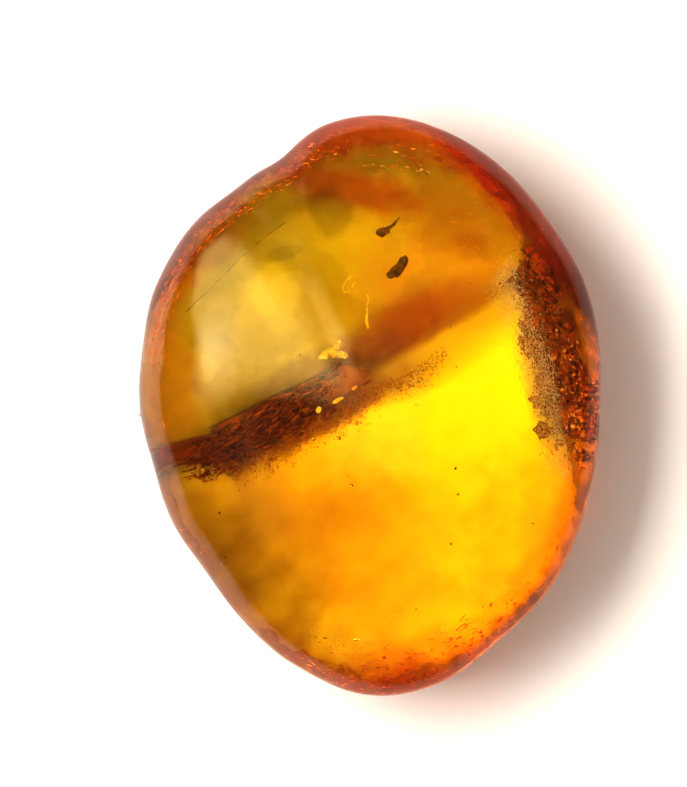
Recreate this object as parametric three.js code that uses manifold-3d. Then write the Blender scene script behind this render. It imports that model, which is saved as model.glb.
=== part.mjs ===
// Plant scraps sealed in a polished piece of amber, which lies on its flat facet.
// Millimetres, +Z up, +Y along the long axis. The base facet is on z = 0.
// The amber is parted in two along the domed flow seam that the scraps lie on.
import * as THREE from "three";
import { mergeVertices } from "three/addons/utils/BufferGeometryUtils.js";
import Module from "manifold-3d";

const wasm = await Module();
wasm.setup();

// ---- Driving dimensions of the amber ----
const GIRDLE_Z = 4.4; // height of the widest outline
const DOME_RISE = 5.0; // top of the dome above the girdle
const DOME_POWER = 2.05; // 2 is an ellipse, more is fuller
const KEEL_DROP = 5.25; // how deep the round underside would reach without its facets
const KEEL_POWER = 2.4; // fullness of the underside
const KEEL_SWING = 0.5; // it is slimmer towards KEEL_AZIMUTH and fuller opposite, by this much
const KEEL_AZIMUTH = 130;
const CENTRE = [-0.027, -0.093]; // puts the middle of the outline's box on the origin

// Radii of the girdle every 15 degrees from +X, counter-clockwise.
const OUTLINE_STEP = 15;
const OUTLINE_RADII = [
  10.3, 10.63, 11.12, 11.52, 12.15, 12.78, 13.0, 12.42, 11.45, 11.28, 10.95, 10.48,
  10.25, 9.98, 10.16, 10.3, 11.05, 12.0, 12.8, 12.66, 11.86, 11.42, 10.83, 10.43,
];
const NOTCH = { azimuth: 109, depth: 0.42, width: 6, fade: 16 };
// The dome meets the side at an edge, most on the right: it would end this share past the outline.
const RIM = { flare: 0.045, azimuth: -10 };

// Flat facets. Each plane passes "reach" out from the axis along "azimuth", at "height".
// "tilt" is the angle of its outward normal from straight down.
const BASE = { azimuth: 0, tilt: 0, reach: 0, height: 0 };
const WALL = { azimuth: 120, tilt: 52, reach: 0.6, height: 0 };
const SHELVES = [
  { azimuth: 190, tilt: 5, reach: 1.0, height: 1.9 },
  { azimuth: 100, tilt: 13, reach: 2.0, height: 0.45 },
  { azimuth: 131, tilt: 20, reach: 7.0, height: 2.0 },
  { azimuth: 85, tilt: 24, reach: 8.7, height: 2.3 },
];
// To the left the wall stops at a slanting end, and the step goes on as an upright face.
const WALL_END = { azimuth: 265.3, tilt: 122.7, reach: 0, height: GIRDLE_Z };
const UPRIGHT = { azimuth: 100.7, tilt: 90, reach: 0, height: 0 };
const FLANKS = [
  { azimuth: 16, tilt: 45.5, reach: 6.35, height: 0 },
  { azimuth: 42, tilt: 50, reach: 7.8, height: 0 },
  { azimuth: 66, tilt: 50, reach: 8.7, height: 0 },
];

// The flow seam: a low dome with a slight slope.
const SEAM = { top: 6.55, crown: 0.0105, slopeX: 0.03, slopeY: -0.02 };
const CLEARANCE = 0.3; // gap between the two halves, and round each scrap

// Mesh fineness.
const AROUND = 64;
const RINGS = 30;
const SEAM_CELLS = [15, 18];
const GRAIN_SPLITS = 2;
const HOLLOW_SPLITS = 1;
const REACH = 15; // beyond the amber in every direction

const degrees = THREE.MathUtils.degToRad;

// ---- Solids ----
function toSolid(geometry) {
  const bare = geometry.clone();
  bare.deleteAttribute("normal");
  bare.deleteAttribute("uv");
  const merged = mergeVertices(bare, 1e-4);
  const mesh = new wasm.Mesh({
    numProp: 3,
    vertProperties: merged.attributes.position.array,
    triVerts: new Uint32Array(merged.index.array),
  });
  return new wasm.Manifold(mesh);
}

function toGeometry(solid) {
  const { vertProperties, triVerts } = solid.getMesh();
  const geometry = new THREE.BufferGeometry();
  geometry.setAttribute("position", new THREE.BufferAttribute(vertProperties, 3));
  geometry.setIndex(new THREE.BufferAttribute(triVerts, 1));
  geometry.computeVertexNormals();
  return geometry;
}

function indexedGeometry(points, triangles) {
  const geometry = new THREE.BufferGeometry();
  geometry.setAttribute("position", new THREE.Float32BufferAttribute(points.flat(), 3));
  geometry.setIndex(triangles.flat());
  return geometry;
}

// ---- The amber's round body ----
function outlineRadius(angle) {
  const count = OUTLINE_RADII.length;
  const turns = THREE.MathUtils.euclideanModulo(angle / degrees(OUTLINE_STEP), count);
  const i = Math.floor(turns);
  const s = turns - i;
  const [a, b, c, d] = [-1, 0, 1, 2].map((k) => OUTLINE_RADII[(i + k + count) % count]);
  const slope = c - a;
  const bend = 2 * a - 5 * b + 4 * c - d;
  const twist = 3 * b - a - 3 * c + d;
  return b + 0.5 * (slope * s + bend * s ** 2 + twist * s ** 3);
}

function notchDepth(angle, level) {
  const off = THREE.MathUtils.euclideanModulo(angle / degrees(1) - NOTCH.azimuth + 180, 360) - 180;
  return NOTCH.depth * Math.exp(-((off / NOTCH.width) ** 2)) * level ** NOTCH.fade;
}

// The body's surface, seen from the middle of the girdle towards angle and rise (radians).
function bodyPoint(angle, rise) {
  const level = Math.cos(rise);
  const radius = outlineRadius(angle) - notchDepth(angle, level);
  const up = rise >= 0;
  const height = up ? DOME_RISE : KEEL_DROP;
  const power = up ? DOME_POWER : KEEL_POWER - KEEL_SWING * Math.cos(angle - degrees(KEEL_AZIMUTH));
  const steep = Math.abs(Math.sin(rise));
  const flare = up ? 1 + RIM.flare * (0.5 + 0.5 * Math.cos(angle - degrees(RIM.azimuth))) : 1;
  const round = ((level / (flare * radius)) ** power + (steep / height) ** power) ** (-1 / power);
  const reach = Math.min(round, radius / level);
  return [
    reach * level * Math.cos(angle),
    reach * level * Math.sin(angle),
    GIRDLE_Z + reach * Math.sin(rise),
  ];
}

function roundBody() {
  const points = [];
  for (let ring = 1; ring < RINGS; ring++) {
    for (let i = 0; i < AROUND; i++) {
      points.push(bodyPoint((i / AROUND) * 2 * Math.PI, (ring / RINGS - 0.5) * Math.PI));
    }
  }
  const bottom = points.push([0, 0, GIRDLE_Z - KEEL_DROP]) - 1;
  const top = points.push([0, 0, GIRDLE_Z + DOME_RISE]) - 1;
  const triangles = [];
  const lastRow = (RINGS - 2) * AROUND;
  for (let i = 0; i < AROUND; i++) {
    const next = (i + 1) % AROUND;
    triangles.push([bottom, next, i]);
    for (let row = 0; row < lastRow; row += AROUND) {
      triangles.push([row + i, row + next, row + AROUND + next]);
      triangles.push([row + i, row + AROUND + next, row + AROUND + i]);
    }
    triangles.push([top, lastRow + i, lastRow + next]);
  }
  return toSolid(indexedGeometry(points, triangles));
}

// A box whose one face lies on the facet's plane, with all of it on the outer side.
function beyondFacet({ azimuth, tilt, reach, height }) {
  const across = new THREE.Vector3(Math.cos(degrees(azimuth)), Math.sin(degrees(azimuth)), 0);
  const normal = across.clone().multiplyScalar(Math.sin(degrees(tilt)));
  normal.z = -Math.cos(degrees(tilt));
  const box = new THREE.BoxGeometry(4 * REACH, 4 * REACH, 2 * REACH);
  box.translate(0, 0, REACH);
  box.applyQuaternion(new THREE.Quaternion().setFromUnitVectors(new THREE.Vector3(0, 0, 1), normal));
  const onPlane = across.multiplyScalar(reach).setZ(height);
  box.translate(onPlane.x, onPlane.y, onPlane.z);
  return toSolid(box);
}

function cutFacets(solid, facets) {
  return facets.reduce((rest, facet) => rest.subtract(beyondFacet(facet)), solid);
}

// The underside is a deep block up to WALL, and a shallower shelf beyond it.
function amberBody() {
  const core = cutFacets(roundBody(), [BASE, ...FLANKS]);
  const pastEnd = beyondFacet(WALL_END);
  const pastUpright = beyondFacet(UPRIGHT);
  const deep = cutFacets(core, [WALL]).subtract(pastEnd.intersect(pastUpright));
  const corner = core.intersect(pastEnd).subtract(pastUpright);
  return deep.add(corner).add(cutFacets(core, SHELVES));
}

// ---- The flow seam ----
function seamHeight(x, y) {
  return SEAM.top - SEAM.crown * (x * x + y * y) + SEAM.slopeX * x + SEAM.slopeY * y;
}

// All space above the seam (side = 1) or below it (side = -1), half the clearance away.
function seamSide(side) {
  const [columns, rows] = SEAM_CELLS;
  const skin = new THREE.BoxGeometry(2 * REACH, 2 * REACH, 2, columns, rows, 1);
  const position = skin.attributes.position;
  for (let i = 0; i < position.count; i++) {
    const onSeam = Math.sign(position.getZ(i)) !== side;
    const level = seamHeight(position.getX(i), position.getY(i)) + (side * CLEARANCE) / 2;
    position.setZ(i, onSeam ? level : side * 2 * REACH);
  }
  return toSolid(skin);
}

// ---- Shapes of plant scraps, each lying round its own origin along +X ----
// A lumpy grain with three semi-axes. "phase" moves the lumps, "rough" is their share of the size.
function grain(length, width, thickness, phase, rough) {
  const geometry = new THREE.IcosahedronGeometry(1, GRAIN_SPLITS);
  const position = geometry.attributes.position;
  const point = new THREE.Vector3();
  for (let i = 0; i < position.count; i++) {
    point.fromBufferAttribute(position, i);
    const across = Math.sin(5 * point.x + phase) * Math.cos(4 * point.y - phase);
    const along = Math.sin(7 * point.z + 2 * phase);
    point.multiplyScalar(1 + 0.5 * rough * (across + along));
    position.setXYZ(i, point.x * length, point.y * width, point.z * thickness);
  }
  return geometry;
}

// A closed thread along a smooth curve. radiusAt gives its radius from 0 to 1 along it.
function thread(path, radiusAt, steps, sides) {
  const curve = new THREE.CatmullRomCurve3(path.map((p) => new THREE.Vector3(...p)));
  const frames = curve.computeFrenetFrames(steps);
  const points = [];
  for (let step = 0; step <= steps; step++) {
    const centre = curve.getPointAt(step / steps);
    const radius = radiusAt(step / steps);
    for (let k = 0; k < sides; k++) {
      const turn = (k / sides) * 2 * Math.PI;
      const point = centre.clone();
      point.addScaledVector(frames.normals[step], radius * Math.cos(turn));
      point.addScaledVector(frames.binormals[step], radius * Math.sin(turn));
      points.push(point.toArray());
    }
  }
  const last = steps * sides;
  const triangles = [];
  for (let k = 0; k < sides; k++) {
    const next = (k + 1) % sides;
    for (let row = 0; row < last; row += sides) {
      triangles.push([row + k, row + next, row + sides + next]);
      triangles.push([row + k, row + sides + next, row + sides + k]);
    }
    if (k > 0 && k < sides - 1) {
      triangles.push([0, k + 1, k]);
      triangles.push([last, last + k, last + k + 1]);
    }
  }
  return indexedGeometry(points, triangles);
}

function joined(geometries) {
  return toGeometry(geometries.map(toSolid).reduce((a, b) => a.add(b)));
}

function moved(geometry, [x, y, z], turn) {
  return geometry.rotateZ(degrees(turn)).translate(x, y, z);
}

// Two fused lobes and a shred of husk at the blunt end.
function seedScrap() {
  const blunt = moved(grain(0.4, 0.25, 0.2, 0.4, 0.12), [-0.16, 0, 0], 0);
  const tip = moved(grain(0.34, 0.2, 0.17, 2.1, 0.14), [0.26, 0.06, 0.03], 20);
  const husk = moved(grain(0.16, 0.2, 0.08, 1.3, 0.16), [-0.5, 0.05, 0.04], 30);
  return joined([blunt, tip, husk]);
}

// A small blade with a tail that bends off to one side.
function bractScrap() {
  const blade = grain(0.3, 0.2, 0.1, 0.9, 0.14);
  const path = [
    [0, 0, 0],
    [0.3, 0.06, 0.02],
    [0.62, 0.16, 0],
    [0.86, 0.3, -0.02],
  ];
  const tail = thread(path, (t) => 0.12 - 0.09 * t, 8, 6);
  return joined([blade, tail]);
}

// A hooked thread: one long arm, a tight turn and a shorter arm back.
function curledTendril() {
  const path = [
    [0.16, 0.4, 0.03],
    [-0.05, 0.16, 0],
    [-0.22, -0.1, -0.03],
    [-0.16, -0.32, -0.02],
    [0.06, -0.28, 0.03],
    [0.28, 0.1, 0.06],
  ];
  return thread(path, (t) => 0.045 + 0.012 * Math.sin(9 * t), 22, 6);
}

// A straight splinter with a kink near one end and a swelling near the other.
function stemSplinter() {
  const path = [
    [-0.72, 0.04, 0],
    [-0.4, 0.07, 0.02],
    [-0.3, 0.02, 0.01],
    [0.1, 0, 0],
    [0.5, -0.02, -0.01],
    [0.74, 0.01, 0],
  ];
  const radiusAt = (t) => 0.03 + 0.065 * Math.exp(-(((t - 0.82) / 0.2) ** 2));
  return thread(path, radiusAt, 16, 7);
}

// Four crumbs fused in a ragged cross.
function barkCrumb() {
  return joined([
    moved(grain(0.36, 0.18, 0.14, 0.2, 0.18), [-0.3, -0.14, 0], 35),
    moved(grain(0.3, 0.2, 0.16, 1.7, 0.2), [0.02, -0.1, 0.03], -20),
    moved(grain(0.34, 0.13, 0.12, 2.6, 0.18), [0.16, 0.16, 0], 70),
    moved(grain(0.22, 0.14, 0.1, 3.5, 0.2), [0.4, -0.18, -0.02], -35),
  ]);
}

// A thread laid along the seam through the given places, tapering to its far end.
function seamThread(places, radius, steps) {
  const path = places.map(([x, y]) => [x, y, seamHeight(x, y)]);
  return thread(path, (t) => radius * (1 - 0.5 * t), steps, 5);
}

// ---- The plant scraps in their places ----
// pocket: semi-axes of the hollow round a scrap, and shift: how far along the scrap it sits.
const SCRAPS = [
  {
    name: "seed_scrap",
    colour: 0x3a1a0a,
    shape: seedScrap(),
    at: [1.33, 5.98],
    turn: 47,
    pocket: [1.15, 0.72, 0.6],
    shift: 0,
  },
  {
    name: "bract_scrap",
    colour: 0x5c2408,
    shape: bractScrap(),
    at: [0.62, 7.5],
    turn: 22,
    pocket: [0.75, 0.6, 0.5],
    shift: 0.28,
  },
  {
    name: "curled_tendril",
    colour: 0xd9952e,
    shape: curledTendril(),
    at: [-0.82, 5.24],
    turn: 0,
    pocket: [0.75, 0.9, 0.5],
    shift: 0,
  },
  {
    name: "stem_splinter",
    colour: 0xe8b83c,
    shape: stemSplinter(),
    at: [-0.03, 4.12],
    turn: -86,
    pocket: [1.2, 0.55, 0.5],
    shift: 0,
  },
  {
    name: "bark_crumb",
    colour: 0xc98a35,
    shape: barkCrumb(),
    at: [-1.45, 2.41],
    turn: 0,
    pocket: [1.1, 0.85, 0.6],
    shift: 0,
  },
];

// Three flat flakes near the upper edge of the step.
const FLAKE_COLOUR = 0xd69a45;
const FLAKE_ROUGH = 0.2;
const FLAKE_MARGIN = [0.38, 0.36, 0.34]; // room round a flake's semi-axes
const FLAKES = [
  { axes: [0.27, 0.09, 0.04], at: [-1.25, 0.31], turn: 32 },
  { axes: [0.15, 0.07, 0.03], at: [-0.58, 0.83], turn: 38 },
  { axes: [0.16, 0.12, 0.05], at: [-2.1, -0.1], turn: 60 },
];
FLAKES.forEach(({ axes, at, turn }, i) => {
  SCRAPS.push({
    name: `band_flake_${i + 1}`,
    colour: FLAKE_COLOUR,
    shape: grain(...axes, i + 0.5, FLAKE_ROUGH),
    at,
    turn,
    pocket: axes.map((axis, k) => axis + FLAKE_MARGIN[k]),
    shift: 0,
  });
});

// A thread needs no pocket: it fits in the gap between the halves.
const FIBRE_COLOUR = 0xf2d36a;
const HAIR_COLOUR = 0x4a2a10;
const FIBRE_PLACES = [
  [0.65, -9.2],
  [1.75, -8.4],
  [2.9, -7.5],
];
const TIP_PLACES = [
  [3.85, -6.55],
  [4.12, -6.25],
  [4.35, -5.98],
];
const HAIR_PLACES = [
  [-7.7, 4.05],
  [-6.1, 5.6],
  [-4.8, 6.85],
  [-3.3, 7.95],
];
const THREADS = [
  { name: "long_fibre", colour: FIBRE_COLOUR, shape: seamThread(FIBRE_PLACES, 0.03, 10) },
  { name: "long_fibre_tip", colour: FIBRE_COLOUR, shape: seamThread(TIP_PLACES, 0.025, 4) },
  { name: "dark_hair", colour: HAIR_COLOUR, shape: seamThread(HAIR_PLACES, 0.03, 12) },
];

function matt(colour) {
  return new THREE.MeshStandardMaterial({ color: colour, roughness: 0.7, metalness: 0 });
}

function amberMaterial() {
  const look = { color: 0xe08a10, roughness: 0.1, metalness: 0, transparent: true, opacity: 0.4 };
  return new THREE.MeshStandardMaterial(look);
}

const stone = new THREE.Group();
stone.position.set(CENTRE[0], CENTRE[1], 0);

const pockets = [];
for (const { name, colour, shape, at, turn, pocket, shift } of SCRAPS) {
  const mesh = new THREE.Mesh(shape, matt(colour));
  mesh.name = name;
  mesh.position.set(at[0], at[1], seamHeight(at[0], at[1]));
  mesh.rotation.z = degrees(turn);
  stone.add(mesh);
  const hollow = new THREE.IcosahedronGeometry(1, HOLLOW_SPLITS);
  hollow.scale(...pocket).translate(shift, 0, 0);
  mesh.updateMatrix();
  pockets.push(toSolid(hollow.applyMatrix4(mesh.matrix)));
}
for (const { name, colour, shape } of THREADS) {
  const mesh = new THREE.Mesh(shape, matt(colour));
  mesh.name = name;
  stone.add(mesh);
}

const amber = pockets.reduce((rest, pocket) => rest.subtract(pocket), amberBody());
const HALVES = { amber_upper: 1, amber_lower: -1 };
for (const [name, side] of Object.entries(HALVES)) {
  const half = amber.intersect(seamSide(side));
  const mesh = new THREE.Mesh(toGeometry(half), amberMaterial());
  mesh.name = name;
  stone.add(mesh);
}

const group = new THREE.Group();
group.add(stone);
export default group;
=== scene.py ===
"""Looks for a polished piece of amber with plant scraps sealed in it.

The clear piece is made here from the same outline, facets and sizes as the CAD solid, in millimetres,
and scaled to metres at the end. The plant scraps start from their CAD nodes and stay where they are.
"""
from math import cos, pi, radians, sin, tan

import bmesh
import bpy
import numpy as np
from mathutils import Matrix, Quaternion, Vector


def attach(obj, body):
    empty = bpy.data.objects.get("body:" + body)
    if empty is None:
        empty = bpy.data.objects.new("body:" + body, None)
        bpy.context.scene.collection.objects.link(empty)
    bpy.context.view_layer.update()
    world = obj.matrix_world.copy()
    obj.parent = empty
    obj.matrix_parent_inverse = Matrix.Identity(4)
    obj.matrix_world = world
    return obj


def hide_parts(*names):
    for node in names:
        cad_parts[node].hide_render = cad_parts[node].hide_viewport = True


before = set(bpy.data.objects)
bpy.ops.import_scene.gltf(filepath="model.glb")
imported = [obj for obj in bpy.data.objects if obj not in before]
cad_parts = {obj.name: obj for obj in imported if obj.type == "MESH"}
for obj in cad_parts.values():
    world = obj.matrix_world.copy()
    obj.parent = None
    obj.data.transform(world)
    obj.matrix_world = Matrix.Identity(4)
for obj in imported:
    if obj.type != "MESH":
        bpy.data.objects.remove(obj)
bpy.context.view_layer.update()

MM = 0.001
SEED = 20

# ---- The amber's shape, as in the CAD solid ----
GIRDLE_Z = 4.4
DOME_RISE = 5.0
DOME_POWER = 2.05
KEEL_DROP = 5.25
KEEL_POWER = 2.4
KEEL_SWING = 0.5
KEEL_AZIMUTH = 130
OUTLINE_STEP = 15
OUTLINE_RADII = np.array([
    10.3, 10.63, 11.12, 11.52, 12.15, 12.78, 13.0, 12.42, 11.45, 11.28, 10.95, 10.48,
    10.25, 9.98, 10.16, 10.3, 11.05, 12.0, 12.8, 12.66, 11.86, 11.42, 10.83, 10.43,
])
# The dome meets the side at an edge, most on the right: how far past the outline it would end.
RIM_FLARE = 0.045
RIM_AZIMUTH = -10
RIM_ROUNDING = 0.12
NOTCH = {"azimuth": 109, "depth": 0.42, "width": 6, "fade": 16}
CENTRE = np.array([-0.027, -0.093, 0])
MIDDLE = CENTRE + [0, 0, GIRDLE_Z]

# Facets: azimuth, tilt from straight down, reach out from the axis, height there.
BASE = (0, 0, 0, 0)
BASE_ROUNDING = 1.4
WALL_AZIMUTH = 120
WALL_TILT = 52
WALL_REACH = 0.6
WALL = (WALL_AZIMUTH, WALL_TILT, WALL_REACH, 0.0)
WALL_ROUNDING = 1.1
# The same, with the rounding of the edge last.
SHELVES = [
    (190, 5, 1.0, 1.9, 0.3),
    (100, 13, 2.0, 0.45, 0.5),
    (131, 20, 7.0, 2.0, 0.3),
    (85, 24, 8.7, 2.3, 0.3),
]
FLANKS = [
    (16, 45.5, 6.35, 0.0, 0.9),
    (42, 50, 7.8, 0.0, 0.9),
    (66, 50, 8.7, 0.0, 0.9),
]
STEP_ROUNDING = 0.05
# To the right the step fades: from and to, along it from its middle, and its rounding there.
STEP_FADE = (-1.2, 3.2)
STEP_FADE_ROUNDING = 1.9
# To the left it ends square and goes on as an upright face: the end's slope and lean seen from the middle
# of the girdle, and the azimuth of the face.
STEP_END_SLOPE = (1.1, 1.17)
STEP_END_LEAN = 1.28
UPRIGHT_AZIMUTH = (190.0, 191.5)
FAR = 60  # stands for a facet that a direction never meets
STEP_ACROSS = np.array([cos(radians(WALL_AZIMUTH)), sin(radians(WALL_AZIMUTH)), 0])
STEP_ALONG = np.array([STEP_ACROSS[1], -STEP_ACROSS[0], 0])

AROUND = 420
RINGS = 224

# ---- Optics of amber ----
AMBER_IOR = 1.54
ABSORPTION = (12, 46, 700)  # per metre for red, green and blue


# ---- Small helpers ----
def link(obj):
    bpy.context.scene.collection.objects.link(obj)
    return obj


def mesh_object(name, points, faces, material, smooth=True):
    """An object from points in millimetres."""
    mesh = bpy.data.meshes.new(name)
    mesh.from_pydata((np.asarray(points, float) * MM).tolist(), [], faces)
    mesh.update()
    mesh.materials.append(material)
    if smooth:
        mesh.shade_smooth()
    return link(bpy.data.objects.new(name, mesh))


def ripple(points, wavelength, seed, waves=14):
    """A smooth random value of about -1 to 1 at each point, from waves of about one length."""
    rng = np.random.default_rng(seed)
    total = np.zeros(len(points))
    for _ in range(waves):
        heading = rng.normal(size=3)
        heading *= 2 * pi / (wavelength * rng.uniform(0.7, 1.5) * np.linalg.norm(heading))
        total += np.sin(points @ heading + rng.uniform(0, 2 * pi))
    return total / np.sqrt(waves)


def step_between(value, low, high):
    """0 before low, 1 past high and smooth between, for either order of the two."""
    t = np.clip((value - low) / (high - low), 0, 1)
    return t * t * (3 - 2 * t)


# ---- The clear amber ----
def outline_radius(angle):
    count = len(OUTLINE_RADII)
    turns = (np.degrees(angle) % 360) / OUTLINE_STEP
    i = np.floor(turns).astype(int) % count
    s = turns - np.floor(turns)
    a, b, c, d = (OUTLINE_RADII[(i + k) % count] for k in (-1, 0, 1, 2))
    return b + 0.5 * ((c - a) * s + (2 * a - 5 * b + 4 * c - d) * s**2 + (3 * b - a - 3 * c + d) * s**3)


def notch_depth(angle, level):
    off = (np.degrees(angle) - NOTCH["azimuth"] + 180) % 360 - 180
    return NOTCH["depth"] * np.exp(-((off / NOTCH["width"]) ** 2)) * level ** NOTCH["fade"]


def smooth_min(a, b, rounding):
    near = np.maximum(rounding - np.abs(a - b), 0) / rounding
    return np.minimum(a, b) - near * near * rounding / 4


def facet_reach(directions, azimuth, tilt, reach, height):
    """How far each direction goes from the middle of the girdle before it meets the facet."""
    azimuth, tilt = radians(azimuth), radians(tilt)
    normal = np.array([sin(tilt) * cos(azimuth), sin(tilt) * sin(azimuth), -cos(tilt)])
    distance = sin(tilt) * reach - cos(tilt) * (height - GIRDLE_Z)
    towards = directions @ normal
    return np.where(towards > distance / FAR, distance / np.maximum(towards, 1e-6), FAR)


def surface_reach(directions):
    angle = np.arctan2(directions[:, 1], directions[:, 0])
    level = np.hypot(directions[:, 0], directions[:, 1])
    steep = directions[:, 2]
    up = steep >= 0
    radius = outline_radius(angle) - notch_depth(angle, level)
    height = np.where(up, DOME_RISE, KEEL_DROP)
    slim = KEEL_SWING * np.cos(angle - radians(KEEL_AZIMUTH))
    power = np.where(up, DOME_POWER, KEEL_POWER - slim)
    flare = 1 + RIM_FLARE * up * (0.5 + 0.5 * np.cos(angle - radians(RIM_AZIMUTH)))
    core = ((level / (flare * radius)) ** power + (np.abs(steep) / height) ** power) ** (-1 / power)
    side = radius / np.maximum(level, radius / FAR)
    core = np.where(flare > 1, smooth_min(core, side, RIM_ROUNDING), core)
    for *facet, edge in FLANKS:
        core = smooth_min(core, facet_reach(directions, *facet), edge)
    core = smooth_min(core, facet_reach(directions, *BASE), BASE_ROUNDING)
    wall = facet_reach(directions, *WALL)
    along = directions @ STEP_ALONG
    fade = STEP_FADE_ROUNDING * step_between(along * np.minimum(wall, core), *STEP_FADE)
    deep = smooth_min(core, wall, WALL_ROUNDING + fade)
    high = core
    for *facet, edge in SHELVES:
        high = smooth_min(high, facet_reach(directions, *facet), edge)
    stepped = np.minimum(core, -smooth_min(-deep, -high, STEP_ROUNDING + fade))
    lean = np.maximum(STEP_END_LEAN * (directions @ STEP_ACROSS) - steep, 0.01)
    past_end = step_between(-along / lean, *STEP_END_SLOPE)
    upright = step_between(np.degrees(angle) % 360, *UPRIGHT_AZIMUTH)
    stepped += past_end * (high + (core - high) * upright - stepped)
    return np.where(up, core, stepped)


def surface_points(directions):
    return directions * surface_reach(directions)[:, None] + MIDDLE


# Waves in the surface: depth and wavelength (mm).
POLISH_WAVES = [(0.02, 5.0), (0.006, 1.8)]
SKIN_WAVES = [(0.07, 1.1), (0.03, 0.5)]
STREAK_WAVES = (0.016, 1.2)
STREAK_SQUEEZE = 0.8
# Where the skin is crumbly, and where the step is streaked, from none to full: shares of the outline's
# radius, and heights (mm) at their foot and top.
SKIN_SHARE, SKIN_FOOT, SKIN_TOP = (0.72, 0.86), (0.1, 0.6), (4.9, 3.9)
STREAK_SHARE, STREAK_FOOT, STREAK_TOP = (0.9, 0.7), (0.15, 0.5), (3.4, 2.6)
# The resting facet stays flat up to here.
FLAT_HEIGHT = (0.02, 0.3)


def weathered(points):
    """The polished surface with the slight wander of hand polishing and a crumbly skin low on the sides."""
    outward = points - MIDDLE
    angle = np.arctan2(outward[:, 1], outward[:, 0])
    share = np.hypot(outward[:, 0], outward[:, 1]) / outline_radius(angle)
    outward /= np.linalg.norm(outward, axis=1)[:, None]
    height = points[:, 2]
    polish = sum(depth * ripple(points, length, SEED + k) for k, (depth, length) in enumerate(POLISH_WAVES))
    side = step_between(share, *SKIN_SHARE)
    side *= step_between(height, *SKIN_FOOT) * step_between(height, *SKIN_TOP)
    crumbs = sum(
        depth * np.abs(ripple(points, length, SEED + 2 + k)) for k, (depth, length) in enumerate(SKIN_WAVES)
    )
    squeezed = points - STREAK_SQUEEZE * np.outer(points @ STEP_ALONG, STEP_ALONG)
    streaks = STREAK_WAVES[0] * ripple(squeezed, STREAK_WAVES[1], SEED + 4)
    under = step_between(share, *STREAK_SHARE)
    under *= step_between(height, *STREAK_FOOT) * step_between(height, *STREAK_TOP)
    lifted = step_between(height, *FLAT_HEIGHT)
    moved = points + outward * ((polish * lifted) - side * crumbs + under * streaks)[:, None]
    moved[:, 2] = np.maximum(moved[:, 2], 0)
    return moved


def clear_amber(material):
    rise = np.linspace(-pi / 2, pi / 2, RINGS + 1)[1:-1]
    turn = np.arange(AROUND) * 2 * pi / AROUND
    turns, rises = np.meshgrid(turn, rise)
    directions = np.stack([np.cos(rises) * np.cos(turns), np.cos(rises) * np.sin(turns), np.sin(rises)], -1)
    directions = np.vstack([directions.reshape(-1, 3), [[0, 0, -1], [0, 0, 1]]])
    points = weathered(surface_points(directions))
    grid = np.arange((RINGS - 1) * AROUND).reshape(RINGS - 1, AROUND)
    ahead = np.roll(grid, -1, 1)
    quads = np.stack([grid[:-1], ahead[:-1], ahead[1:], grid[1:]], -1).reshape(-1, 4)
    bottom, top = grid.size, grid.size + 1
    faces = quads.tolist()
    faces += [[bottom, int(b), int(a)] for a, b in zip(grid[0], ahead[0])]
    faces += [[top, int(a), int(b)] for a, b in zip(grid[-1], ahead[-1])]
    return mesh_object("amber", points, faces, material)


# ---- Materials ----
class Nodes:
    """The node tree of a material or lamp, with short calls for the nodes used here."""

    def __init__(self, owner):
        owner.use_nodes = True
        self.nodes = owner.node_tree.nodes
        self.links = owner.node_tree.links

    def wire(self, source, target):
        if isinstance(source, (int, float, tuple)):
            target.default_value = source
        else:
            self.links.new(source, target)

    def math(self, operation, a, b=0.0, c=0.0):
        node = self.nodes.new("ShaderNodeMath")
        node.operation = operation
        for source, socket in zip((a, b, c), node.inputs):
            self.wire(source, socket)
        return node.outputs[0]

    def vector(self, operation, a, b=(0, 0, 0)):
        node = self.nodes.new("ShaderNodeVectorMath")
        node.operation = operation
        self.wire(a, node.inputs[0])
        self.wire(b, node.inputs[1])
        return node.outputs["Value" if operation in ("LENGTH", "DOT_PRODUCT") else "Vector"]

    def ramp(self, value, low, high, start=0.0, end=1.0):
        node = self.nodes.new("ShaderNodeMapRange")
        node.interpolation_type = "SMOOTHSTEP"
        names = ("Value", "From Min", "From Max", "To Min", "To Max")
        for source, name in zip((value, low, high, start, end), names):
            self.wire(source, node.inputs[name])
        return node.outputs[0]


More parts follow.
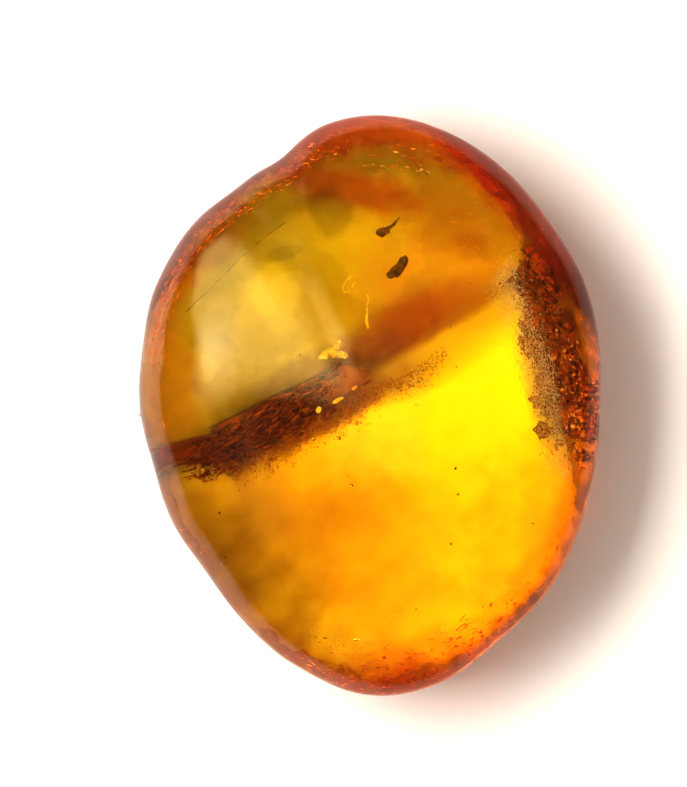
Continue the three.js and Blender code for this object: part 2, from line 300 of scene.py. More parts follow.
class Shader(Nodes):
    """A material's nodes, with textures laid out by the object's own coordinates."""

    def __init__(self, name):
        self.material = bpy.data.materials.new(name)
        super().__init__(self.material)
        self.surface = self.nodes["Principled BSDF"]
        self.output = self.nodes["Material Output"]
        self.place = self.nodes.new("ShaderNodeTexCoord").outputs["Object"]

    def set(self, **values):
        """Plain values on the surface shader's own sockets."""
        for name, value in values.items():
            self.surface.inputs[name.replace("_", " ")].default_value = value

    def noise(self, size_mm, detail=3, stretch=(1, 1, 1)):
        node = self.nodes.new("ShaderNodeTexNoise")
        self.wire(self.vector("MULTIPLY", self.place, stretch), node.inputs["Vector"])
        node.inputs["Scale"].default_value = 1 / (size_mm * MM)
        node.inputs["Detail"].default_value = detail
        return node.outputs["Fac"]

    def mix(self, share, a, b):
        node = self.nodes.new("ShaderNodeMix")
        node.data_type = "RGBA"
        self.wire(share, node.inputs["Factor"])
        self.wire(a, node.inputs[6])
        self.wire(b, node.inputs[7])
        return node.outputs[2]

    def multiply(self, share, a, b):
        colour = self.mix(share, a, b)
        colour.node.blend_type = "MULTIPLY"
        return colour

    def axis(self, name):
        node = self.nodes.new("ShaderNodeSeparateXYZ")
        self.wire(self.place, node.inputs[0])
        return node.outputs[name]

    def ramp_mm(self, length, span, start=0.0, end=1.0):
        """A ramp over a span given in millimetres."""
        return self.ramp(length, span[0] * MM, span[1] * MM, start, end)

    def bump(self, height, depth_mm, strength=1.0):
        node = self.nodes.new("ShaderNodeBump")
        node.inputs["Strength"].default_value = strength
        node.inputs["Distance"].default_value = depth_mm * MM
        self.wire(height, node.inputs["Height"])
        self.wire(node.outputs["Normal"], self.surface.inputs["Normal"])


def rgb(red, green, blue):
    return (red, green, blue, 1.0)


# Heights where the underside's stains and painted shade end and where the polish begins (mm), and the
# roughness at each end.
UNDERSIDE_TOP = (3.0, 4.0)
POLISH_FOOT = (3.6, 4.5)
ROUGHNESS = (0.3, 0.03)

# Stains and painted shade on the underside: middle (mm), half-widths (mm), turn (degrees), softness of the
# edge, and the share of red, green and blue light that it leaves.
UNDERSIDE_SHADE_AND_STAINS = {
    # Painted shade: the honey stains darken all but where the dome gathers the light.
    "honey_left": ((-4.0, -3.6), (3.0, 4.2), 25, 1.0, rgb(0.72, 0.58, 0.45)),
    "honey_middle": ((0.2, -5.6), (4.8, 3.2), 10, 1.0, rgb(0.66, 0.5, 0.5)),
    "honey_right": ((6.6, -4.6), (1.8, 3.8), -22, 0.9, rgb(0.75, 0.5, 0.5)),
    "deep_cloud": ((-0.6, -4.2), (2.2, 1.0), 15, 0.7, rgb(0.8, 0.7, 0.6)),
    "honey_foot": ((2.4, -8.4), (3.6, 1.6), -10, 0.6, rgb(0.95, 0.8, 0.8)),
    # Painted shade: from here on they darken the step, the rims and the flank, where little light comes out.
    "wall_shade": ((-2.6, 0.3), (4.0, 1.3), 30, 0.4, rgb(0.4, 0.26, 0.2)),
    "heel_brown": ((-6.3, -5.6), (6.6, 1.9), -52, 0.7, rgb(0.4, 0.32, 0.3)),
    "foot_brown": ((0.8, -11.4), (4.8, 1.8), 0, 0.5, rgb(0.6, 0.5, 0.45)),
    "flank_brown": ((8.8, 1.8), (2.2, 4.8), 6, 0.4, rgb(0.34, 0.2, 0.12)),
    "step_foot": ((-1.9, -0.6), (4.0, 0.6), 30, 0.5, rgb(0.6, 0.36, 0.2)),
}
# Past the step, stains and painted shade: most darken the shelf, which shows little light; hair_shadow is the
# hair's painted shadow.
SHELF_SHADE_AND_STAINS = {
    "top_arch": ((1.3, 10.2), (2.6, 0.7), -12, 0.35, rgb(0.64, 0.8, 0.7)),
    "red_top_band": ((-1.0, 9.0), (3.6, 0.75), -14, 0.5, rgb(0.75, 0.2, 0.1)),
    "olive_cloud": ((-1.3, 7.9), (0.8, 1.0), 10, 0.25, rgb(0.52, 0.55, 0.6)),
    "olive_brow": ((-4.6, 7.4), (1.0, 4.0), -52, 0.3, rgb(0.66, 0.66, 0.6)),
    "hair_shadow": ((-3.3, 6.1), (0.9, 0.3), 20, 0.25, rgb(0.6, 0.6, 0.5)),
    "mustard_cloud": ((-1.6, 4.5), (0.9, 1.5), 5, 0.3, rgb(0.9, 0.85, 0.8)),
    "warm_shelf": ((2.6, 4.6), (3.2, 2.6), 20, 0.5, rgb(0.85, 0.52, 0.9)),
    "brown_shoulder": ((3.2, 8.0), (2.6, 1.3), -25, 0.5, rgb(0.66, 0.5, 0.4)),
    "red_shelf_edge": ((1.0, 3.0), (2.8, 0.95), 32, 0.4, rgb(1.0, 0.5, 0.2)),
    "veil_olive": ((-5.9, 4.4), (0.8, 2.0), 0, 0.35, rgb(0.62, 0.66, 0.7)),
    "rust_brow": ((-6.4, 5.9), (0.7, 2.8), -45, 0.35, rgb(0.9, 0.5, 0.4)),
    "left_rust": ((-7.6, 0.7), (0.9, 2.6), 0, 0.4, rgb(0.95, 0.6, 0.5)),
}
# How far across the step the shelf's painted shade starts, and how far that edge wanders (mm).
SHELF_START = (1.2, 1.7)
SHELF_WANDER = 0.6
# Painted shade over the whole shelf.
SHELF_SHADE = rgb(0.54, 0.5, 0.5)
MOTTLE_TINT = rgb(0.8, 0.8, 0.8)
# Where the shelf is clearer, with less painted shade: middle, half-widths, turn, softness.
CLEARINGS = [
    ((-3.7, 4.5), (0.85, 1.4), 8, 0.35),
    ((1.0, 9.3), (0.8, 0.5), 10, 0.3),
]
CLEARING_SHARE = 0.6

# The weathered skin round the girdle and the crust low in it, whose orange is partly painted glow and shade
# of the
# light through the thin edge: the light each leaves, and the height of its upper edge (mm), which wanders.
SKIN_GLOW = rgb(1.0, 0.5, 0.16)
GLOW_TOP = (7.5, 8.4)
SKIN_CRUST = rgb(0.75, 0.4, 0.25)
CRUST_HEIGHT = (6.1, 7.0)
EDGE_WANDER = 1.6
# The skin's inner edge: an oval this far out along x (mm) and further along y, which wanders too.
SKIN_OVAL = (1, 0.84, 0)
SKIN_START = (9.2, 10.4)
START_WANDER = 1.8
# Towards these headings, from and to this far out (mm), the skin reaches higher by the last length.
WIDE_SKIN = [
    ((0.62, -0.78, 0), 7.5, 10.0, 0.8),
    ((0.77, 0.64, 0), 9.2, 10.6, 1.9),
]
# Towards this heading, over this span outwards (mm), the skin thins to this share.
BARE_HEADING = (-0.84, -0.54, 0)
BARE_SPAN = (5.6, 7.6)
BARE_SHARE = 0.5
# Stains on the crust: dark_flank and brown_foot are painted shade, for the dark flank and for the dark band
# that mirrors the lower right.
CRUST_SHADE_AND_STAINS = {
    "red_shoulder": ((7.4, 8.2), (2.4, 5.2), 40, 0.4, rgb(0.9, 0.3, 0.1)),
    "brown_brow": ((-5.0, 9.5), (2.6, 7.5), -52, 0.4, rgb(0.7, 0.4, 0.3)),
    "brown_left": ((-10.3, 1.0), (1.8, 5.0), 0, 0.4, rgb(0.8, 0.65, 0.6)),
    "dark_flank": ((9.6, 1.4), (2.0, 4.6), 3, 0.4, rgb(0.3, 0.22, 0.2)),
    "brown_foot": ((8.6, -7.6), (1.8, 5.5), -28, 0.4, rgb(0.24, 0.34, 0.3)),
}


# Where a spot ends, in half-widths from its middle, with the mean of the noise that makes its edge ragged.
SPOT_EDGE = 1 + 0.5


def spot(shader, ragged, middle, widths, turn, softness):
    """1 inside an ellipse and 0 outside it, with a ragged edge."""
    mapping = shader.nodes.new("ShaderNodeMapping")
    mapping.vector_type = "TEXTURE"
    shader.wire(shader.place, mapping.inputs["Vector"])
    mapping.inputs["Location"].default_value = (middle[0] * MM, middle[1] * MM, 0)
    mapping.inputs["Rotation"].default_value = (0, 0, radians(turn))
    mapping.inputs["Scale"].default_value = (widths[0] * MM, widths[1] * MM, 1)
    centred = shader.vector("MULTIPLY", mapping.outputs["Vector"], (1, 1, 0))
    distance = shader.math("ADD", ragged, shader.vector("LENGTH", centred))
    return shader.ramp(distance, SPOT_EDGE - softness, SPOT_EDGE + softness, 1.0, 0.0)


def tinted(shader, colour, tints, where, ragged):
    """The colour with each tint multiplied in: stains and painted shade."""
    for *shape, tint in tints.values():
        share = shader.math("MULTIPLY", spot(shader, ragged, *shape), where)
        colour = shader.multiply(share, colour, tint)
    return colour


def amber_material():
    """Clear honey amber: plain transmission and absorption, a reddish skin low on the sides that is partly
    painted glow and shade, and stains and painted shade below.
    """
    shader = Shader("amber_clear")
    shader.set(IOR=AMBER_IOR, Transmission_Weight=1.0)
    height = shader.axis("Z")
    wander = shader.noise(1.1, 4)
    ragged = shader.noise(1.0, 5)
    underneath = shader.ramp_mm(height, UNDERSIDE_TOP, 1.0, 0.0)
    colour = tinted(shader, rgb(1, 1, 1), UNDERSIDE_SHADE_AND_STAINS, underneath, ragged)

    # Past the step the underside is darker, in patches: painted shade, stains and mottling.
    past_step = shader.vector("DOT_PRODUCT", shader.place, tuple(STEP_ACROSS))
    past_step = shader.math("MULTIPLY_ADD", ragged, SHELF_WANDER * MM, past_step)
    shaded_shelf = shader.math("MULTIPLY", shader.ramp_mm(past_step, SHELF_START), underneath)
    colour = tinted(shader, colour, SHELF_SHADE_AND_STAINS, shaded_shelf, ragged)
    for clearing in CLEARINGS:
        cleared = shader.math("MULTIPLY", spot(shader, ragged, *clearing), CLEARING_SHARE)
        shaded_shelf = shader.math("MULTIPLY", shaded_shelf, shader.math("SUBTRACT", 1.0, cleared))
    colour = shader.multiply(shaded_shelf, colour, SHELF_SHADE)
    mottled = shader.math("MULTIPLY", shader.ramp(shader.noise(2.2, 5), 0.5, 0.55), shaded_shelf)
    colour = shader.multiply(mottled, colour, MOTTLE_TINT)

    # The skin is tinted orange round the girdle, under a darker crust: partly their own colour, partly
    # painted glow and shade.
    level = shader.math("MULTIPLY_ADD", wander, EDGE_WANDER * MM, height)
    for heading, start, end, widening in WIDE_SKIN:
        towards = shader.vector("DOT_PRODUCT", shader.place, heading)
        level = shader.math("SUBTRACT", level, shader.ramp_mm(towards, (start, end), 0.0, widening * MM))
    towards = shader.vector("DOT_PRODUCT", shader.place, BARE_HEADING)
    bare = shader.ramp_mm(towards, BARE_SPAN, 1.0, BARE_SHARE)
    oval = shader.vector("MULTIPLY", shader.place, SKIN_OVAL)
    spread = shader.math("MULTIPLY_ADD", wander, START_WANDER * MM, shader.vector("LENGTH", oval))
    outside = shader.math("MULTIPLY", shader.ramp_mm(spread, SKIN_START), bare)
    skin = shader.math("MULTIPLY", shader.ramp_mm(level, GLOW_TOP, 1.0, 0.0), outside)
    crust = shader.math("MULTIPLY", shader.ramp_mm(level, CRUST_HEIGHT, 1.0, 0.0), outside)
    colour = shader.multiply(skin, colour, SKIN_GLOW)
    colour = shader.multiply(crust, colour, SKIN_CRUST)
    colour = tinted(shader, colour, CRUST_SHADE_AND_STAINS, crust, ragged)
    shader.wire(colour, shader.surface.inputs["Base Color"])
    shader.wire(shader.ramp_mm(height, POLISH_FOOT, *ROUGHNESS), shader.surface.inputs["Roughness"])
    scratches = shader.noise(0.5, 5, stretch=(1, 6, 1))
    shader.bump(scratches, 0.004, 0.3)
    absorb = shader.nodes.new("ShaderNodeVolumeAbsorption")
    density = max(ABSORPTION)
    absorb.inputs["Density"].default_value = density
    absorb.inputs["Color"].default_value = rgb(*(1 - share / density for share in ABSORPTION))
    shader.wire(absorb.outputs[0], shader.output.inputs["Volume"])
    return shader.material


def tissue_material(name, dark, light, size_mm):
    """Plant tissue: two tones in fibrous patches, with a dry uneven surface."""
    shader = Shader(name)
    patches = shader.noise(size_mm, 5)
    fibres = shader.noise(size_mm * 0.4, 4, stretch=(1, 4, 1))
    blend = shader.math("MULTIPLY_ADD", fibres, 0.5, shader.math("MULTIPLY", patches, 0.5))
    shader.wire(shader.mix(shader.ramp(blend, 0.35, 0.65), dark, light), shader.surface.inputs["Base Color"])
    shader.wire(shader.ramp(fibres, 0.3, 0.7, 0.45, 0.8), shader.surface.inputs["Roughness"])
    shader.set(Sheen_Weight=0.2)
    shader.bump(fibres, 0.02)
    return shader.material


def glint_material(name, tone, light, roughness):
    """The bright wall of a bubble or of a tiny stress crack."""
    shader = Shader(name)
    shader.set(Metallic=1.0)
    shader.wire(shader.mix(shader.noise(0.3, 2), tone, light), shader.surface.inputs["Base Color"])
    rough = shader.ramp(shader.noise(0.2, 3), 0.3, 0.7, roughness * 0.6, roughness)
    shader.wire(rough, shader.surface.inputs["Roughness"])
    return shader.material


# ---- Plant scraps, dressed from their CAD nodes ----
def dressed(node, material, levels, relief_mm, wavelength_mm, seed):
    """A finer copy of a CAD scrap with its tissue's relief, in the same place."""
    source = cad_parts[node]
    mesh = source.data.copy()
    mesh.materials.clear()
    mesh.materials.append(material)
    shape = bmesh.new()
    shape.from_mesh(mesh)
    bmesh.ops.remove_doubles(shape, verts=shape.verts, dist=0.002 * MM)
    shape.to_mesh(mesh)
    shape.free()
    piece = link(bpy.data.objects.new(node + "_tissue", mesh))
    smoother = piece.modifiers.new("rounding", "SUBSURF")
    smoother.levels = smoother.render_levels = levels
    depsgraph = bpy.context.evaluated_depsgraph_get()
    fine = bpy.data.meshes.new_from_object(piece.evaluated_get(depsgraph))
    piece.modifiers.clear()
    piece.data = fine
    points = np.array([vertex.co for vertex in fine.vertices]) / MM
    normals = np.array([vertex.normal for vertex in fine.vertices])
    lumps = ripple(points, wavelength_mm, seed) + 0.5 * ripple(points, wavelength_mm * 0.4, seed + 1)
    points += normals * (relief_mm * lumps)[:, None]
    fine.vertices.foreach_set("co", (points * MM).ravel())
    fine.update()
    fine.shade_smooth()
    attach(piece, "root")
    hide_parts(node)
    return piece


# ---- Fine grains in the amber ----
SURFACE_GAP = 0.04
FLAKE_DEPTH = 0.012  # of a flake, from its outline to either point


class Cluster:
    """Many small closed shapes joined in one mesh."""

    def __init__(self, seed):
        self.points = []
        self.faces = []
        self.rng = np.random.default_rng(seed)

    def ball(self, middle, axes, turn=0.0, lumpy=0.0, rows=4, columns=6):
        """A small rounded grain with three half-widths."""
        start = len(self.points)
        heading = np.array([[cos(turn), -sin(turn), 0], [sin(turn), cos(turn), 0], [0, 0, 1]])
        for row in range(1, rows):
            for column in range(columns):
                rise, angle = pi * row / rows - pi / 2, 2 * pi * column / columns
                ray = np.array([cos(rise) * cos(angle), cos(rise) * sin(angle), sin(rise)])
                size = 1 + lumpy * self.rng.uniform(-1, 1)
                self.points.append(middle + heading @ (ray * axes * size))
        for sign in (-1, 1):
            self.points.append(middle + heading @ (np.array([0, 0, sign]) * axes))
        low, high = len(self.points) - 2, len(self.points) - 1
        top = start + (rows - 2) * columns
        for column in range(columns):
            ahead = (column + 1) % columns
            self.faces.append([low, start + ahead, start + column])
            self.faces.append([high, top + column, top + ahead])
            for row in range(rows - 2):
                a, b = start + row * columns + column, start + row * columns + ahead
                self.faces.append([a, b, b + columns, a + columns])

    def flake(self, middle, normal, along, length, width):
        """A thin ragged lens: two shallow points over a torn outline."""
        sides = int(self.rng.integers(6, 11))
        normal = np.asarray(normal, float) / np.linalg.norm(normal)
        beside = np.cross(normal, along)
        beside /= np.linalg.norm(beside)
        along = np.cross(beside, normal)
        start = len(self.points)
        for side in range(sides):
            angle = 2 * pi * side / sides
            reach = self.rng.uniform(0.5, 1.1) / 2
            self.points.append(middle + reach * (length * cos(angle) * along + width * sin(angle) * beside))
        self.points.append(middle - FLAKE_DEPTH * normal)
        self.points.append(middle + FLAKE_DEPTH * normal)
        for side in range(sides):
            ahead = (side + 1) % sides
            self.faces.append([start + sides, start + ahead, start + side])
            self.faces.append([start + sides + 1, start + side, start + ahead])

    def keep_inside(self):
        """Draws in whatever would come nearer to the amber's surface than the gap."""
        outward = np.array(self.points) - MIDDLE
        distance = np.linalg.norm(outward, axis=1)[:, None]
        surface = weathered(surface_points(outward / distance))
        reach = np.linalg.norm(surface - MIDDLE, axis=1)[:, None]
        self.points = MIDDLE + outward * np.minimum((reach - SURFACE_GAP) / distance, 1)

    def build(self, name, material, smooth=True):
        piece = mesh_object(name, self.points, self.faces, material, smooth)
        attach(piece, "root")
        return piece


def under_skin(azimuth, rise, depth):
    """A point under the skin, seen from the middle of the girdle, with the way out and the way round."""
    azimuth, rise = radians(azimuth), radians(rise)
    outward = np.array([cos(rise) * cos(azimuth), cos(rise) * sin(azimuth), sin(rise)])
    reach = surface_reach(outward[None])[0] - depth
    return outward * reach + MIDDLE, outward, np.array([-sin(azimuth), cos(azimuth), 0])


# Where the skin is full of stress cracks: azimuths, rises, how many, length (mm).
SPANGLES = [
    ((94, 170), (6.5, 12.0), 560, 0.22),
    ((70, 94), (8, 16), 60, 0.26),
    ((44, 70), (8, 24), 40, 0.22),
    ((-18, 20), (2, 17), 130, 0.3),
    ((255, 300), (4, 16), 190, 0.3),
    ((300, 342), (4, 13), 70, 0.24),
    ((170, 255), (4, 14), 45, 0.2),
]


def stress_spangles(material):
    cluster = Cluster(SEED + 10)
    rng = cluster.rng
    for azimuths, rises, count, length in SPANGLES:
        for _ in range(count):
            azimuth, rise = rng.uniform(*azimuths), rng.uniform(*rises)
            middle, outward, round_ = under_skin(azimuth, rise, rng.uniform(0.1, 0.5))
            normal = outward + [0, 0, 0.6] + rng.normal(size=3) * 0.45
            along = round_ + rng.normal(size=3) * 0.25
            size = length * rng.uniform(0.3, 1.8)
            cluster.flake(middle, normal, along, size, length * rng.uniform(0.1, 0.35))
    cluster.keep_inside()
    return cluster.build("stress_spangles", material, smooth=False)


# How far the silt reaches along the step from its middle, at its foot and on its face, and up the face (mm).
FOOT_SPAN = (-5.8, 4.2)
FACE_SPAN = (-6.9, 0.7)
FACE_HEIGHT = 2.1
# One in so many of the shapes on the face of the step and on the flank is a flake.
FACE_FLAKES = 22
FLANK_FLAKES = 14


def between(span, share):
    return span[0] + (span[1] - span[0]) * share


def step_silt(material):
    """Brown silt caught along the foot of the step."""
    cluster = Cluster(SEED + 11)
    rng = cluster.rng
    for _ in range(2600):
        along = between(FOOT_SPAN, rng.beta(1.2, 1.7))
        across = WALL_REACH - abs(rng.normal()) * 0.42 + 0.15 * sin(2.1 * along)
        middle = along * STEP_ALONG + across * STEP_ACROSS + [0, 0, 0.1 + rng.exponential(0.12)] + CENTRE
        axes = rng.uniform(0.01, 0.028) * np.array([1.5, 1, 0.8])
        cluster.ball(middle, axes, rng.uniform(0, pi), 0.3)
    cluster.keep_inside()
    return cluster.build("step_silt", material)


def wall_silt_and_shade(material):
    """Dark silt and thin flakes on the face of the step, thickest to the left, laid thick to paint the step's
    shade.
    """
    cluster = Cluster(SEED + 16)
    rng = cluster.rng
    for number in range(3400):
        along = between(FACE_SPAN, rng.beta(1.5, 2.6))
        rise = FACE_HEIGHT * rng.random()
        across = WALL_REACH + rise / tan(radians(WALL_TILT)) - rng.uniform(0.03, 0.25)
        middle = along * STEP_ALONG + across * STEP_ACROSS + [0, 0, rise] + CENTRE
        if number % FACE_FLAKES == 0:
            normal = STEP_ACROSS - [0, 0, 0.8] + rng.normal(size=3) * 0.15
            size = rng.uniform(0.3, 1.0)
            cluster.flake(middle, normal, STEP_ALONG + rng.normal(size=3) * 0.2, size, 0.4 * size)
        else:
            axes = rng.uniform(0.01, 0.035) * np.array([1.6, 1, 0.8])
            cluster.ball(middle, axes, rng.uniform(-0.4, 1.2), 0.3, rows=3, columns=5)
    cluster.keep_inside()
    return cluster.build("wall_silt_and_shade", material)


# The crust of the right flank, laid thick to paint its shade: azimuths, the rises of its foot and its top,
# and where it thins out at its lower and upper end. Past the azimuths of its lift the foot rises.
FLANK_AZIMUTHS = (-18, 47)
FLANK_FOOT, FLANK_FOOT_LIFTED, FLANK_TOP = -31.5, -23.5, -13
FLANK_LIFT = (22, 42)
FLANK_LOWER_END, FLANK_UPPER_END = (-20, 6), (47, 40)


def flank_crust_and_shade(material):
    """The dark crust of the right flank, laid thick to paint its shade: thin brown flakes with silt between
    them.
    """
    cluster = Cluster(SEED + 17)
    rng = cluster.rng
    for number in range(5200):
        azimuth = rng.uniform(*FLANK_AZIMUTHS)
        foot = between((FLANK_FOOT, FLANK_FOOT_LIFTED), step_between(azimuth, *FLANK_LIFT))
        rise = between((foot, FLANK_TOP), rng.beta(1.4, 1.5))
        if rng.random() > step_between(azimuth, *FLANK_LOWER_END) * step_between(azimuth, *FLANK_UPPER_END):
            continue
        middle, outward, _ = under_skin(azimuth, rise, rng.uniform(0.04, 0.4))
        if number % FLANK_FLAKES == 0:
            normal = outward * [1, 1, 0] - [0, 0, 0.9] + rng.normal(size=3) * 0.2
            size = rng.uniform(0.35, 1.1)
            cluster.flake(middle, normal, rng.normal(size=3), size, rng.uniform(0.4, 0.8) * size)
        else:
            axes = rng.uniform(0.01, 0.045) * np.array([1, 1.4, 0.8])
            cluster.ball(middle, axes, rng.uniform(-0.6, 0.6), 0.3, rows=3, columns=5)
    cluster.keep_inside()
    return cluster.build("flank_crust_and_shade", material)


# A cloudy film over the flank: azimuth and rise along it.
FILM_PATH = [(46, 19.5), (34, 22), (18, 22), (7, 21), (-4, 19), (-20, 14)]


def flank_film(material):
    cluster = Cluster(SEED + 12)
    rng = cluster.rng
    path = np.array(FILM_PATH, float)
    for _ in range(9000):
        t = rng.uniform(0, len(path) - 1.001)
        i = int(t)
        azimuth, rise = path[i] + (t - i) * (path[i + 1] - path[i])
        width = 1.0 - 0.12 * t
        depth = 0.3 + 1.4 * rng.random()
        middle, _, _ = under_skin(azimuth + rng.normal(), rise + rng.normal() * 1.5 * width, depth)
        size = rng.uniform(0.006, 0.022) * np.array([1, 2, 0.7])
        cluster.ball(middle, size, rng.uniform(-0.5, 0.5), rows=3, columns=5)
    cluster.keep_inside()
    return cluster.build("flank_film", material)


# Golden crumbs in the right flank, and where the foot is crumbly: azimuths, rises, depths, how many, size.
CRUMBS = [
    ((-14, 8), (2, 15), (0.3, 1.6), 90, 0.07),
    ((8, 24), (6, 18), (0.4, 1.8), 30, 0.06),
    ((262, 312), (2, 13), (0.2, 1.0), 80, 0.06),
]


def golden_crumbs(material):
    cluster = Cluster(SEED + 13)
    rng = cluster.rng
    for azimuths, rises, depths, count, size in CRUMBS:
        for _ in range(count):
            middle, _, _ = under_skin(rng.uniform(*azimuths), rng.uniform(*rises), rng.uniform(*depths))
            axes = size * rng.uniform(0.3, 1.6) * np.array([1, rng.uniform(0.4, 1), rng.uniform(0.4, 1)])
            cluster.ball(middle, axes, rng.uniform(0, pi), 0.35)
    cluster.keep_inside()
    return cluster.build("golden_crumbs", material, smooth=False)


# Gas bubbles, middles and half-width (mm).
BUBBLES = [
    (-2.25, -1.3, 5.4, 0.1), (-1.38, -1.02, 5.2, 0.06), (-1.2, -1.3, 5.3, 0.11), (-0.68, -3.32, 5.0, 0.09),
    (-2.1, -1.66, 5.5, 0.05), (-0.85, -2.9, 5.1, 0.05), (4.3, 5.3, 6.3, 0.05), (4.7, 6.6, 6.4, 0.05),
    (3.45, 3.45, 6.2, 0.04), (-1.75, -1.55, 5.0, 0.04), (-0.95, -2.35, 5.2, 0.04),
]
# Dark motes, in the same way.
MOTES = [
    (3.65, -2.6, 5.6, 0.06), (3.75, -3.7, 5.5, 0.05), (3.45, -5.8, 5.3, 0.05), (6.95, -5.0, 5.6, 0.05),
    (-6.25, -4.45, 5.6, 0.06), (2.0, -8.6, 5.2, 0.04), (-2.9, 2.2, 6.3, 0.04), (-10.12, -0.35, 4.5, 0.1),
]


def scattered(name, material, places, seed, lumpy):
    cluster = Cluster(seed)
    for x, y, z, size in places:
        middle = np.array([x, y, z]) + CENTRE
        cluster.ball(middle, size * np.array([1, 0.85, 0.9]), 0.4 * x, lumpy, rows=8, columns=12)
    return cluster.build(name, material)


# ---- Studio ----
def area_light(name, azimuth, elevation, distance, size, radiance, colour, sees, spread=180):
    """A rectangular lamp aimed at the girdle's middle, of a given brightness, seen by the named rays only."""
    data = bpy.data.lights.new(name, "AREA")
    data.shape = "RECTANGLE"
    data.size, data.size_y = size[0] * MM, size[1] * MM
    half = radians(spread) / 2
    narrowed = tan(half) / (tan(half) - half) if spread < 180 else 1
    data.energy = radiance * pi * data.size * data.size_y / narrowed
    data.color = colour
    data.spread = radians(spread)
    lamp = link(bpy.data.objects.new(name, data))
    azimuth, elevation = radians(azimuth), radians(elevation)
    back = Vector((cos(elevation) * cos(azimuth), cos(elevation) * sin(azimuth), sin(elevation)))
    lamp.location = (back * distance + Vector((0, 0, GIRDLE_Z))) * MM
    lamp.rotation_mode = "QUATERNION"
    lamp.rotation_quaternion = back.to_track_quat("Z", "Y")
    lamp.visible_camera = False
    lamp.visible_diffuse = "diffuse" in sees
    lamp.visible_glossy = "glossy" in sees
    lamp.visible_transmission = "transmission" in sees
    return lamp


FLOOR_DROP = 0.02
FLOOR_HALF = 900
WARM_WHITE = (1, 0.95, 0.88)
VEIL_YELLOW = (1, 0.85, 0.36)

# The window that the polish mirrors: size (mm), turn (degrees) and brightness.
VEIL_SIZE = (330, 190)
VEIL_TURN = 66.6
VEIL_RADIANCE = 4.4
# Its soft edges, which blinds cut at a slant: the heading of each, how far out it is and its softness (mm).
VEIL_EDGES = [(93.6, 50, 12), (180, 115, 24), (-107, 44, 12), (-47, 38, 14)]


def blinds(lamp):
    """Dims the lamp past each of its edges."""
    tree = Nodes(lamp.data)
    across = tree.nodes.new("ShaderNodeNewGeometry").outputs["Parametric"]
    centred = tree.vector("SUBTRACT", across, (0.5, 0.5, 0))
    place = tree.vector("MULTIPLY", centred, (VEIL_SIZE[0], VEIL_SIZE[1], 0))
    shade = 1.0
    for heading, reach, softness in VEIL_EDGES:
        out = tree.vector("DOT_PRODUCT", place, (cos(radians(heading)), sin(radians(heading)), 0))
        shade = tree.math("MULTIPLY", shade, tree.ramp(out, reach - softness, reach + softness, 1.0, 0.0))
    tree.wire(shade, tree.nodes["Emission"].inputs["Strength"])


def studio():
    shader = Shader("pale_floor")
    shader.set(Roughness=0.9)
    grain = shader.noise(6, 4)
    paper = shader.mix(grain, rgb(0.88, 0.88, 0.88), rgb(0.91, 0.91, 0.91))
    shader.wire(paper, shader.surface.inputs["Base Color"])
    half = FLOOR_HALF
    corners = [(x * half, y * half, -FLOOR_DROP) for x, y in ((-1, -1), (1, -1), (1, 1), (-1, 1))]
    mesh_object("floor", corners, [[0, 1, 2, 3]], shader.material, smooth=False)

    # Round the amber: the window that throws the shadow, and the white room.
    area_light("window", 167, 57, 150, (110, 64), 12.5, WARM_WHITE, ("diffuse",))
    area_light("ceiling", 0, 90, 300, (500, 500), 0.9, (1, 0.86, 0.73), ("diffuse",))
    # Through the amber.
    area_light("overhead", 0, 90, 150, (60, 60), 11.0, WARM_WHITE, ("transmission",))
    area_light("slant", 60, 68, 150, (60, 60), 4.0, WARM_WHITE, ("transmission",))
    area_light("west", 205, 47, 150, (60, 60), 9.0, WARM_WHITE, ("transmission",))
    area_light("through_window", 164, 47, 150, (110, 110), 5.5, WARM_WHITE, ("transmission",))
    # On its polish.
    veil = area_light("veil", 157, 45, 150, VEIL_SIZE, VEIL_RADIANCE, VEIL_YELLOW, ("glossy",))
    veil.rotation_quaternion = veil.rotation_quaternion @ Quaternion((0, 0, 1), radians(VEIL_TURN))
    blinds(veil)
    area_light("gleam", 168, 41, 150, (90, 90), 3.6, (1, 0.92, 0.75), ("glossy",), spread=30)

    world = bpy.data.worlds.new("room")
    bpy.context.scene.world = world
    world.use_nodes = True
    background = world.node_tree.nodes["Background"]
    background.inputs["Color"].default_value = rgb(1, 0.82, 0.68)
    background.inputs["Strength"].default_value = 0.12


# The camera looks straight down. Its view is VIEW_HEIGHT tall at the girdle, a little off the amber's middle.
VIEW_HEIGHT = 35.16
VIEW_SHIFT = (-1.121, 0.51)
CAMERA_DISTANCE = 200
SENSOR = 24


def camera():
    data = bpy.data.cameras.new("camera")
    data.sensor_fit = "VERTICAL"
    data.sensor_height = SENSOR
    data.lens = SENSOR * CAMERA_DISTANCE / VIEW_HEIGHT
    data.clip_start = 0.001
    data.clip_end = 5
    view = link(bpy.data.objects.new("camera", data))
    view.location = (VIEW_SHIFT[0] * MM, VIEW_SHIFT[1] * MM, (CAMERA_DISTANCE + GIRDLE_Z) * MM)
    bpy.context.scene.camera = view


def render_settings():
    scene = bpy.context.scene
    scene.view_settings.view_transform = "Standard"
    scene.view_settings.exposure = 0.3
    scene.view_settings.gamma = 0.8
    scene.cycles.max_bounces = 32
    scene.cycles.transmission_bounces = 24
    scene.cycles.glossy_bounces = 24
    scene.cycles.diffuse_bounces = 4
    scene.cycles.blur_glossy = 0.0


# ---- The piece ----
amber = clear_amber(amber_material())
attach(amber, "root")
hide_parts("amber_upper", "amber_lower")

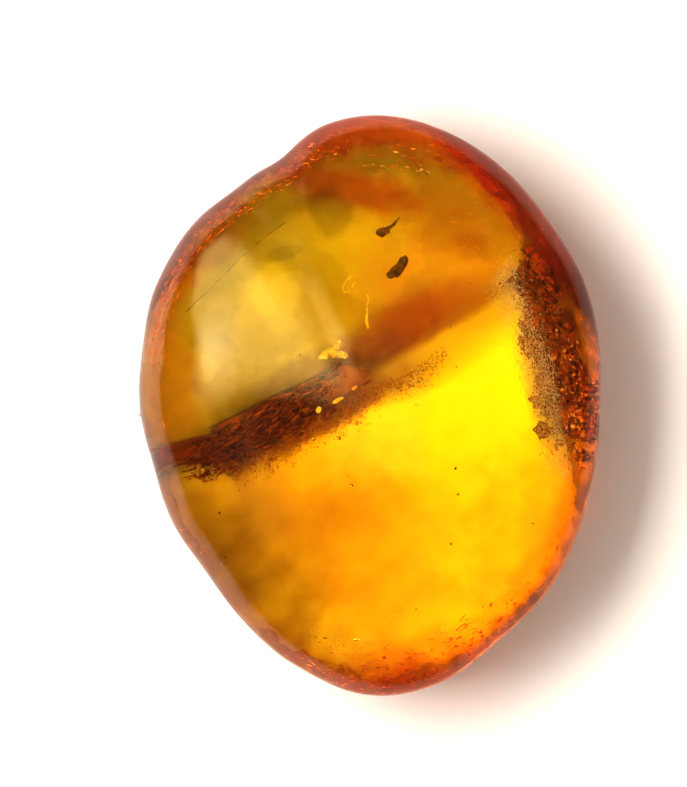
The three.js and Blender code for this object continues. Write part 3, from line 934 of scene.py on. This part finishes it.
DARK_TISSUE = tissue_material("dark_tissue", rgb(0.03, 0.015, 0.01), rgb(0.3, 0.12, 0.06), 0.25)
RUSTY_TISSUE = tissue_material("rusty_tissue", rgb(0.08, 0.03, 0.015), rgb(0.4, 0.16, 0.06), 0.25)
HAIR_TISSUE = tissue_material("hair_tissue", rgb(0.12, 0.06, 0.03), rgb(0.4, 0.22, 0.1), 0.4)
GOLDEN_TISSUE = tissue_material("golden_tissue", rgb(0.95, 0.5, 0.12), rgb(1.0, 1.0, 0.8), 0.2)
PALE_FIBRE = tissue_material("pale_fibre", rgb(0.8, 0.6, 0.25), rgb(1.0, 0.95, 0.7), 0.15)

dressed("seed_scrap", DARK_TISSUE, 2, 0.02, 0.25, SEED + 30)
dressed("bract_scrap", RUSTY_TISSUE, 2, 0.015, 0.2, SEED + 32)
dressed("dark_hair", HAIR_TISSUE, 1, 0.008, 0.4, SEED + 34)
dressed("curled_tendril", GOLDEN_TISSUE, 2, 0.008, 0.15, SEED + 36)
dressed("stem_splinter", GOLDEN_TISSUE, 2, 0.01, 0.2, SEED + 38)
dressed("bark_crumb", GOLDEN_TISSUE, 2, 0.025, 0.16, SEED + 40)
for number in (1, 2, 3):
    dressed(f"band_flake_{number}", GOLDEN_TISSUE, 2, 0.01, 0.12, SEED + 40 + 2 * number)
dressed("long_fibre", PALE_FIBRE, 1, 0.003, 0.3, SEED + 50)
dressed("long_fibre_tip", PALE_FIBRE, 1, 0.003, 0.3, SEED + 52)

stress_spangles(glint_material("spangle", rgb(1.0, 0.3, 0.04), rgb(1.0, 0.6, 0.2), 0.4))
step_silt(tissue_material("brown_silt", rgb(0.25, 0.08, 0.02), rgb(0.8, 0.4, 0.08), 0.2))
wall_silt_and_shade(tissue_material("maroon_silt", rgb(0.1, 0.02, 0.004), rgb(0.45, 0.1, 0.02), 0.5))
flank_crust_and_shade(tissue_material("maroon_crust", rgb(0.14, 0.03, 0.006), rgb(0.6, 0.15, 0.03), 0.9))
flank_film(tissue_material("olive_film", rgb(0.7, 0.6, 0.35), rgb(1.0, 0.95, 0.7), 0.5))
golden_crumbs(tissue_material("golden_crumb", rgb(0.7, 0.25, 0.04), rgb(1.0, 0.75, 0.3), 0.1))
BUBBLE_WALL = glint_material("bubble", rgb(1.0, 0.9, 0.6), rgb(1.0, 0.95, 0.7), 0.2)
scattered("gas_bubbles", BUBBLE_WALL, BUBBLES, SEED + 14, 0.0)
scattered("dark_motes", DARK_TISSUE, MOTES, SEED + 15, 0.2)

studio()
camera()
render_settings()
